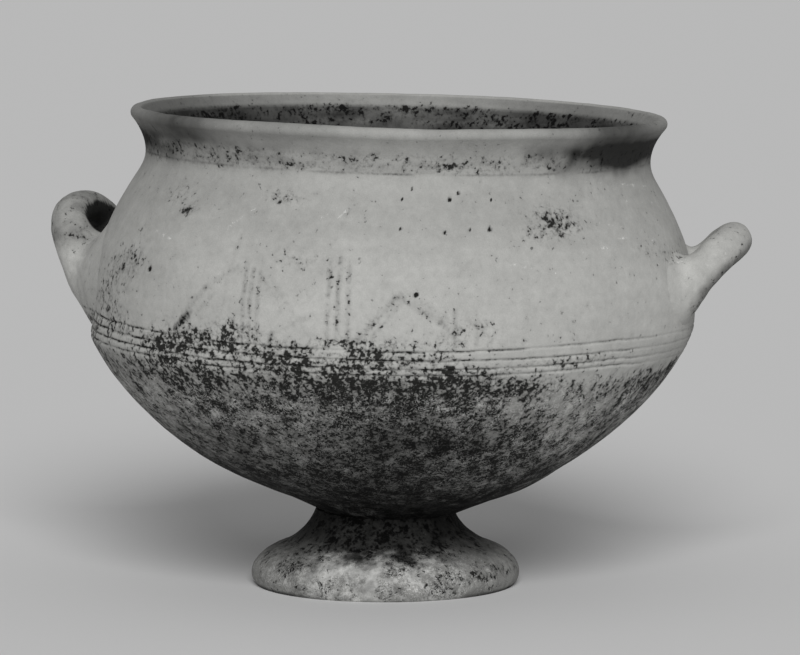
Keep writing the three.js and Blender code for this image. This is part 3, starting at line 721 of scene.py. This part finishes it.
# Dark spots on the flare of the foot: azimuth, height, reach along each, and how dark
FOOT_SPOTS = (
    (44, 11, 14, 4, 0.5), (24, 7, 10, 3, 0.4), (-2, 8, 8, 3, 0.3), (-58, 13, 12, 6, 0.2),
    (10, 16, 10, 4, 0.25), (-44, 14, 8, 4, 0.25), (-30, 5, 8, 3, 0.2), (130, 12, 16, 5, 0.4),
    (-140, 10, 20, 5, 0.3),
)


def dress_foot(azimuth, height, points, outer):
    """Soot and painted shade on the stem, a pale crust on the front of the flare, and a painted
    contact shadow along the bottom edge at the sides.
    """
    azimuth = turn_from(azimuth, 0)
    aside = ramp(np.abs(azimuth + 4), 26, 48)
    shake = 3.4 * rough(points, 8, 33) + 1.6 * rough(points, 2.6, 41)
    edge = 21.0 + shake * (1 - 0.6 * aside)
    stem = ramp(height, edge - 3.5 - 6 * aside, edge + 3.5 + 7 * aside)
    tone = 0.60 - 0.09 * aside + 0.12 * rough(points, 22, 36)
    tone += 0.22 * (1 - 0.5 * aside) * rough(points, 4.5, 39)
    # Darker up the stem: soot, with painted shade under the bowl.
    tone *= 1 - 0.87 * stem
    # Painted contact shadow along the bottom edge, at the sides only.
    tone *= 1 - 0.8 * (1 - ramp(height, 0.5, 2.6)) * ramp(np.abs(azimuth), 25, 50)
    soot = 0.19 - 0.08 * aside + 0.20 * stem + 0.24 * rough(points, 8, 38)
    soot += spots(azimuth, height, FOOT_SPOTS)
    front = np.exp(-(((azimuth + 8) / 58) ** 2))
    crust = 0.52 + 0.20 * rough(points, 9, 34) + 0.24 * rough(points, 3.5, 43)
    pale = front * crust * (1 - ramp(height, edge, edge + 8)) + 0.24
    inner_soot = 0.3 + 0.2 * rough(points, 12, 35)
    return {"tone": np.clip(np.where(outer, tone, 0.45), 0.03, 1.2),
            "soot": np.clip(np.where(outer, soot, inner_soot), 0, 1),
            "ink": np.zeros(len(height)),
            "pale": np.where(outer, np.clip(pale, 0, 1), 0.1)}


def make_luting_coil():
    azimuths = np.arange(0, 360, 2.0)
    turns = np.linspace(0, 2 * math.pi, 28, endpoint=False)
    middle = np.array([(COIL_INNER + COIL_OUTER) / 2, (COIL_LOW + COIL_TOP) / 2])
    half = np.array([(COIL_OUTER - COIL_INNER) / 2, (COIL_TOP - COIL_LOW) / 2])
    ring = np.stack([np.cos(turns), np.sin(turns)], axis=1)
    section = middle + half * np.sign(ring) * np.abs(ring) ** COIL_SQUARENESS
    azimuth, radius, height = turned(section, azimuths)
    dents = DENT_DEPTH * (np.cos(np.radians(azimuth * COIL_DENTS)) - 1) * (height < middle[1])
    points = around(azimuth, radius, height - dents) + FOOT_MIDDLE
    points[:, 2] += lean_rise(points) * ramp(height, COIL_LOW, COIL_TOP)
    count = len(points)
    fields = {"tone": np.full(count, 0.7), "soot": 0.5 + 0.2 * rough(points, 8, 37),
              "ink": np.zeros(count), "pale": np.full(count, 0.05)}
    return build("luting_coil_clay", points, ring_faces(len(section), len(azimuths), True), fields)


# Handles, in millimetres: a rolled coil bent to a loop, on two pads smoothed on to the wall
HANDLE_SPREAD, HANDLE_SINK, ARCH_SHARE = 28, 3, 0.6
HANDLE_RUN_ON, RUN_ON_POINTS = 12, 6
LINE_POINTS, TUBE_SIDES = 90, 32
PAD_WAIST, PAD_SKIRT, PAD_DEPTH, PAD_SUNK = 0.62, 1.2, 12, 3
PAD_TOP = 0.4  # radius of the cap on each end of a pad
PAD_TURN = 7.5  # degrees from one column of a pad to the next
RIGHT = dict(
    name="right_handle", azimuth=4.9, radius=10.4, growth=2.8, root=134, reach=24.3, rise=25.4,
    bend_reach=9, bend_rise=14, pad_height=133, pad_proud=5, pad_radius=25, pad_drop=22,
    pad_spread=46, pad_climb=30,
)
LEFT = dict(
    name="left_handle", azimuth=175.1, radius=9.9, growth=10, root=126.5, reach=23.4, rise=35.2,
    bend_reach=22.8, bend_rise=26, pad_height=126, pad_proud=14, pad_radius=27, pad_drop=38,
    pad_spread=72, pad_climb=46,
)
VOXEL = 1.2
SMOOTH_SHARE, SMOOTH_ROUNDS = 0.5, 14
EASE_SHARE, EASE_ROUNDS = 0.6, 90
RELIEF_AWAY = 6  # distance from the wall at which a handle has its full relief
SKIN_SINK = 0.7  # how deep a handle's skin may lie under the wall's surface


def handle_line(handle):
    """Points along a handle, its ends run on into the wall, and how far out each is, 0 to 1."""
    wall = outside_radius(handle["root"]) - HANDLE_SINK
    p0 = np.array([wall, handle["root"]])
    p1 = p0 + (handle["bend_reach"], handle["bend_rise"])
    p2 = p0 + (handle["reach"], handle["rise"])
    sheet = bend(np.linspace(0, 1, 300)[:, None], p0, p1, p2)
    length = np.linalg.norm(np.diff(sheet, axis=0), axis=1).sum()
    arm = length * (1 - ARCH_SHARE)
    turn = np.linspace(math.pi, 0, 200)
    arch = np.stack([HANDLE_SPREAD * np.cos(turn), arm + (length - arm) * np.sin(turn)], axis=1)
    flat = even(np.concatenate([[(-HANDLE_SPREAD, 0)], arch, [(HANDLE_SPREAD, 0)]]), LINE_POINTS)
    share = np.clip(flat[:, 1:] / length, 0, 1)
    bent = bend(share, p0, p1, p2)
    line = np.stack([bent[:, 0], flat[:, 0], bent[:, 1]], axis=1)
    back = np.array([p1[0] - p0[0], 0, p1[1] - p0[1]]) / -np.hypot(*(p1 - p0))
    run = np.linspace(HANDLE_RUN_ON, HANDLE_RUN_ON / RUN_ON_POINTS, RUN_ON_POINTS)[:, None] * back
    line = np.concatenate([line[0] + run, line, line[-1] + run[::-1]])
    return line, np.pad(share[:, 0], RUN_ON_POINTS)


def sweep(line, radii):
    """A tube along a line, with a flat end at each end."""
    way = np.gradient(line, axis=0)
    way /= np.linalg.norm(way, axis=1)[:, None]
    first = np.cross(way[0], (1, 0, 0))
    points = []
    for k, (place, tangent) in enumerate(zip(line, way, strict=True)):
        first = first - tangent * (first @ tangent)
        first /= np.linalg.norm(first)
        second = np.cross(tangent, first)
        for turn in np.linspace(0, 2 * math.pi, TUBE_SIDES, endpoint=False):
            points.append(place + radii[k] * (first * math.cos(turn) + second * math.sin(turn)))
    return np.array(points), ring_faces(len(line), TUBE_SIDES, False)


def pad(handle, side):
    """A bell of clay wrapped on to the wall, drawn down below and feathered out sideways."""
    size, proud = handle["pad_radius"], handle["pad_proud"]
    waist, skirt = size * PAD_WAIST, PAD_SKIRT * size
    bell = bend(np.linspace(0, 1, 12)[:, None],
                (skirt, -PAD_SUNK), (waist, 0), (waist, proud), (PAD_TOP, proud))
    section = np.concatenate([[(PAD_TOP, -PAD_DEPTH), (skirt, -PAD_DEPTH)], bell])
    turns = np.radians(np.arange(0, 360, PAD_TURN))
    radius = np.repeat(section[:, 0], len(turns))
    across = radius * np.tile(np.cos(turns), len(section))
    up = radius * np.tile(np.sin(turns), len(section))
    outer = np.clip(-side * across / size, 0, 1)
    feather = np.clip(radius / size, 0.3, 1) ** 0.8
    climb = 1 + (handle["pad_climb"] / size - 1) * ramp(outer, 0, 0.5) * feather
    across = np.where(side * across < 0, across * handle["pad_spread"] / size * feather, across)
    drop = handle["pad_drop"] / size * (1 - 0.35 * ramp(outer, 0.3, 0.9))
    height = handle["pad_height"] + np.where(up < 0, up * drop, up * climb)
    wall = outside_radius(height)
    middle = side * math.asin(HANDLE_SPREAD / outside_radius(handle["root"]))
    azimuth = middle - across / wall
    reach = wall + np.repeat(section[:, 1], len(turns))
    points = np.stack([reach * np.cos(azimuth), reach * np.sin(azimuth), height], axis=1)
    return points, ring_faces(len(section), len(turns), False)


def melt(name, solids):
    """One skin round overlapping solids, in millimetres."""
    points, faces = [], []
    for more, sides in solids:
        faces += [tuple(i + len(points) for i in face) for face in sides]
        points += more.tolist()
    mesh = bpy.data.meshes.new(name)
    mesh.from_pydata(points, [], faces)
    rough_piece = bpy.data.objects.new(name, mesh)
    bpy.context.scene.collection.objects.link(rough_piece)
    remesh = rough_piece.modifiers.new("skin", "REMESH")
    remesh.mode, remesh.voxel_size = "VOXEL", VOXEL
    smooth = rough_piece.modifiers.new("soften", "SMOOTH")
    smooth.factor, smooth.iterations = SMOOTH_SHARE, SMOOTH_ROUNDS
    shaped = rough_piece.evaluated_get(bpy.context.evaluated_depsgraph_get()).to_mesh()
    out = np.empty(len(shaped.vertices) * 3)
    shaped.vertices.foreach_get("co", out)
    faces = [tuple(face.vertices) for face in shaped.polygons]
    bpy.data.objects.remove(rough_piece)
    return out.reshape(-1, 3), faces


def eased(points, faces, weight, rounds):
    """The same points, each drawn again and again towards the middle of its neighbours."""
    corners = np.array([face for face in faces if len(face) == 4])
    a, b = corners.ravel(), np.roll(corners, -1, axis=1).ravel()
    ends, others = np.r_[a, b], np.r_[b, a]
    count = np.maximum(np.bincount(ends, minlength=len(points)), 1)
    for _ in range(rounds):
        totals = [np.bincount(ends, places, len(points)) for places in points[others].T]
        points = points + weight[:, None] * (np.stack(totals, axis=1) / count[:, None] - points)
    return points


def outward(solid):
    """The same solid with its faces turned outward."""
    points, faces = solid
    turned_in = inside_out(points - points.mean(axis=0), faces)
    return points, ([face[::-1] for face in faces] if turned_in else faces)


def make_handle(handle):
    line, share = handle_line(handle)
    radii = handle["radius"] + handle["growth"] * (1 - share) ** 2
    solids = [outward(s) for s in (sweep(line, radii), pad(handle, -1), pad(handle, 1))]
    points, faces = melt(handle["name"], solids)
    proud = np.hypot(points[:, 0], points[:, 1]) - outside_radius(points[:, 2])
    points = eased(points, faces, EASE_SHARE * (1 - ramp(proud, 9, 18)), EASE_ROUNDS)
    hole, under = facings(points, line)
    turn = math.radians(handle["azimuth"])
    cos, sin = math.cos(turn), math.sin(turn)
    points = points @ np.array([[cos, sin, 0], [-sin, cos, 0], [0, 0, 1]])
    radius, wall = np.hypot(points[:, 0], points[:, 1]), outside_radius(points[:, 2])
    lift = 0.30 * noise(points, 16, 71) + 0.22 * rough(points, 6, 72)
    lift *= np.clip(radius - wall, 0, RELIEF_AWAY) / RELIEF_AWAY
    points[:, :2] *= (1 + lift / np.maximum(radius, 1))[:, None]
    points[:, 2] += 0.5 * lift
    radius = np.hypot(points[:, 0], points[:, 1])
    points[:, :2] *= (np.maximum(radius, wall - SKIN_SINK) / radius)[:, None]
    outer = np.ones(len(points), bool)
    fields, _ = dress_wall(azimuth_of(points), wall, points[:, 2], points, outer)
    dress_handle(handle, fields, points, radius - wall, hole, under)
    return build(handle["name"] + "_clay", in_part(points), faces, fields)


def facings(points, line):
    """How squarely a handle's points face the middle of its loop, and out and down, -1 to 1."""
    gaps = np.linalg.norm(points[:, None] - line[None, ::3], axis=2)
    nearest = line[::3][gaps.argmin(axis=1)]
    out, inward = points - nearest, line.mean(axis=0) - nearest
    out, inward = (v / np.linalg.norm(v, axis=1)[:, None] for v in (out, inward))
    return np.sum(out * inward, axis=1), out @ np.array([0.7, 0, -0.7])


def dress_handle(handle, fields, points, proud, hole, under):
    """Turns the wall's own colour at the root to the handle's further out, painting shade on the
    left loop's inner face and on the right handle's underside.
    """
    if handle is LEFT:
        own, up = ramp(proud, 0.5, 12.0), ramp(points[:, 2], 138, 152)
        band = np.exp(-(((points[:, 2] - 147 - 2 * noise(points, 10, 77)) / 5) ** 2))
        soot = 0.06 + 0.06 * up + 0.12 * band + 0.08 * rough(points, 8, 75)
        tone = 1.04 - 0.38 * up - 0.18 * band
        tone += 0.10 * rough(points, 12, 76) + 0.10 * rough(points, 4, 79)
        # Painted shade on the inner face of the loop, where it faces the opening.
        shaded_inner_face = ramp(hole + 0.12 * noise(points, 7, 78), -0.05, 0.25)
        tone -= 0.92 * shaded_inner_face * ramp(points[:, 2], 134, 146)
    else:
        own = ramp(proud, 0.5, 8.0)
        # Painted shade, with a few more soot specks, on the right handle's underside, which faces
        # out and down.
        below = ramp(under + 0.15 * noise(points, 6, 80), 0.35, 0.95)
        soot = 0.05 + 0.05 * rough(points, 9, 75) + 0.12 * (1 - ramp(points[:, 2], 124, 136))
        soot += 0.16 * below
        tone = 0.97 + 0.07 * rough(points, 15, 76) + 0.07 * rough(points, 4, 79) - 0.50 * below
    for key, value in (("soot", soot), ("ink", 0), ("pale", 0.15), ("tone", tone)):
        fields[key] = fields[key] * (1 - own) + value * own
    fields["soot"] = np.clip(fields["soot"], 0, 1)
    fields["tone"] = np.clip(fields["tone"], 0.04, 1.2)


# Materials

class Nodes:
    """Short names for adding and joining the nodes of one material."""

    def __init__(self, material):
        material.use_nodes = True
        self.tree = material.node_tree
        self.tree.nodes.clear()

    def add(self, kind, inputs=(), **settings):
        node = self.tree.nodes.new("ShaderNode" + kind)
        for key, value in settings.items():
            setattr(node, key, value)
        for key, value in dict(inputs).items():
            self.put(node.inputs[key], value)
        return node

    def put(self, socket, value):
        if isinstance(value, bpy.types.NodeSocket):
            self.tree.links.new(value, socket)
        else:
            socket.default_value = value

    def math(self, operation, a, b=0.0, clamp=False):
        return self.add("Math", {0: a, 1: b}, operation=operation, use_clamp=clamp).outputs[0]

    def spread(self, value, low, high, to_low=0.0, to_high=1.0):
        inputs = {"Value": value, "From Min": low, "From Max": high,
                  "To Min": to_low, "To Max": to_high}
        return self.add("MapRange", inputs, clamp=True).outputs[0]

    def noise(self, place, scale, detail, roughness=0.6, distortion=0.0):
        inputs = {"Vector": place, "Scale": scale, "Detail": detail, "Roughness": roughness,
                  "Distortion": distortion}
        return self.add("TexNoise", inputs).outputs["Fac"]

    def mix(self, share, a, b):
        # Sockets 6 and 7 take the two colours, and socket 2 gives their mix
        return self.add("Mix", {"Factor": share, 6: a, 7: b}, data_type="RGBA").outputs[2]

    def field(self, name):
        return self.add("Attribute", attribute_name=name).outputs["Fac"]


PALE_CLAY = (0.40, 0.40, 0.385, 1)
SOOTY_CLAY = (0.09, 0.09, 0.086, 1)
SOOT = (0.010, 0.010, 0.009, 1)
CRUST = (0.76, 0.76, 0.74, 1)


def clay(name, roughness=0.85, relief=0.35):
    """Fired clay with soot specks, dark strokes and pale crust, driven by the mesh's fields."""
    material = bpy.data.materials.new(name)
    n = Nodes(material)
    place = n.add("Mapping", {
        "Vector": n.add("TexCoord").outputs["Object"], "Rotation": (0.6, 0.45, 0.8),
        "Scale": (1 / MM, 1 / MM, 1 / MM),
    }).outputs[0]
    clumps = n.noise(place, 0.23, 3, 0.6, 0.4)
    specks = n.noise(place, 0.52, 3, 0.52)
    grain = n.noise(place, 2.6, 3, 0.6)
    both = n.math("ADD", n.math("MULTIPLY", clumps, 0.54), n.math("MULTIPLY", specks, 0.46))
    gap = n.math("SUBTRACT", n.field("soot"), n.spread(both, 0.35, 0.65))
    sooty = n.spread(gap, -0.05, 0.09)
    half_sooty = n.spread(n.field("soot"), 0.02, 0.36)
    half_sooty = n.math("MULTIPLY", n.spread(gap, -0.40, 0.12), half_sooty)
    base = n.mix(n.math("MULTIPLY", half_sooty, 0.85), PALE_CLAY, SOOTY_CLAY)
    base = n.mix(n.math("MULTIPLY", sooty, 0.92), base, SOOT)
    veins = n.noise(place, 0.5, 3, 0.6, 0.5)
    ridge = n.spread(n.math("ABSOLUTE", n.math("SUBTRACT", veins, 0.5)), 0.0, 0.05, 1.0, 0.0)
    patches = n.spread(n.noise(place, 0.42, 4, 0.7), 0.3, 0.7)
    flecks = n.math("ADD", n.math("MULTIPLY", patches, 0.55), n.math("MULTIPLY", ridge, 0.45))
    crusty = n.spread(n.math("ADD", n.field("pale"), flecks), 0.90, 1.20)
    crusty = n.math("MULTIPLY", crusty, n.spread(specks, 0.36, 0.62, 0.95, 0.55))
    base = n.mix(crusty, base, CRUST)
    ink = n.math("MULTIPLY", n.field("ink"), n.spread(specks, 0.34, 0.60, 1.2, 0.55), clamp=True)
    base = n.mix(ink, base, SOOT)
    tone = n.math("MULTIPLY", n.field("tone"), n.spread(grain, 0.3, 0.7, 0.88, 1.12))
    tone = n.math("MULTIPLY", tone, n.spread(clumps, 0.3, 0.7, 0.94, 1.06))
    base = n.add("VectorMath", {0: base, "Scale": tone}, operation="SCALE").outputs[0]
    height = n.math("ADD", n.math("MULTIPLY", specks, 0.7), n.math("MULTIPLY", grain, 0.3))
    height = n.math("SUBTRACT", height, n.math("MULTIPLY", sooty, 0.12))
    bump = n.add("Bump", {"Strength": relief, "Distance": 0.0006, "Height": height})
    shader = n.add("BsdfPrincipled", {
        "Base Color": base, "Roughness": roughness, "Normal": bump.outputs[0],
        "Specular IOR Level": 0.12,
    })
    n.add("OutputMaterial", {"Surface": shader.outputs[0]})
    return material


# The whole vessel

wall_clay = clay("scorched_and_pale_clay")
foot_clay = clay("crusted_foot_clay", 0.88, 0.6)
handle_clay = clay("smoothed_handle_clay", 0.78, 0.3)
SLOTS = {"bowl_base": "scorched_clay", "lower_wall": "scorched_clay", "shoulder_wall": "pale_clay",
         "neck_collar": "speckled_clay", "rim_lip": "speckled_clay"}


def finish_piece(piece, material, slot, *nodes):
    piece.data.materials.append(material)
    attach(piece, "root")
    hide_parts(*nodes)


for node, piece in make_bowl().items():
    finish_piece(piece, wall_clay, SLOTS[node], node)
finish_piece(make_foot(), foot_clay, "foot_clay", "foot")
finish_piece(make_luting_coil(), foot_clay, "foot_clay", "foot_luting_coil")
for handle in (LEFT, RIGHT):
    name = handle["name"]
    nodes = (name, name + "_front_pad", name + "_back_pad")
    finish_piece(make_handle(handle), handle_clay, "handle_clay", *nodes)

# Floor, light and camera

FLOOR_TONE, FLOOR_REACH, AIR_TONE = 0.68, 30, 0.30
SUN_STRENGTH, SUN_SIZE, SUN_WAY = 2.5, 26, Vector((-0.24, 0.90, -0.56))
FAR = 200

corners = [(x * FLOOR_REACH, y * FLOOR_REACH, 0) for x, y in ((-1, -1), (1, -1), (1, 1), (-1, 1))]
floor_mesh = bpy.data.meshes.new("floor")
floor_mesh.from_pydata(corners, [], [(0, 1, 2, 3)])
floor = bpy.data.objects.new("floor", floor_mesh)
bpy.context.scene.collection.objects.link(floor)
floor_paint = bpy.data.materials.new("floor_paint")
paint = Nodes(floor_paint)
matt = paint.add("BsdfDiffuse", {"Color": (FLOOR_TONE, FLOOR_TONE, FLOOR_TONE, 1)})
paint.add("OutputMaterial", {"Surface": matt.outputs[0]})
floor_mesh.materials.append(floor_paint)

world = bpy.data.worlds.new("studio")
bpy.context.scene.world = world
world.use_nodes = True
air = world.node_tree.nodes["Background"]
air.inputs["Color"].default_value = (AIR_TONE, AIR_TONE, AIR_TONE, 1)
air.inputs["Strength"].default_value = 1.0

key = bpy.data.lights.new("key", "SUN")
key.energy, key.angle = SUN_STRENGTH, math.radians(SUN_SIZE)
key_lamp = bpy.data.objects.new("key", key)
key_lamp.rotation_euler = SUN_WAY.to_track_quat("-Z", "Y").to_euler()
bpy.context.scene.collection.objects.link(key_lamp)

lens = bpy.data.cameras.new("camera")
lens.lens, lens.sensor_width, lens.sensor_fit = LENS, SENSOR, "HORIZONTAL"
lens.clip_end = FAR
camera = bpy.data.objects.new("camera", lens)
up = CAMERA_RIGHT.cross(CAMERA_FORWARD)
rows = zip(CAMERA_RIGHT.normalized(), up.normalized(), -CAMERA_FORWARD.normalized(), strict=True)
camera.matrix_world = (Matrix.Translation(Vector(FOOT_MIDDLE * MM) + CAMERA_PLACE)
                       @ Matrix([list(row) for row in rows]).to_4x4())
bpy.context.scene.collection.objects.link(camera)
bpy.context.scene.camera = camera
bpy.context.scene.view_settings.view_transform = "Standard"
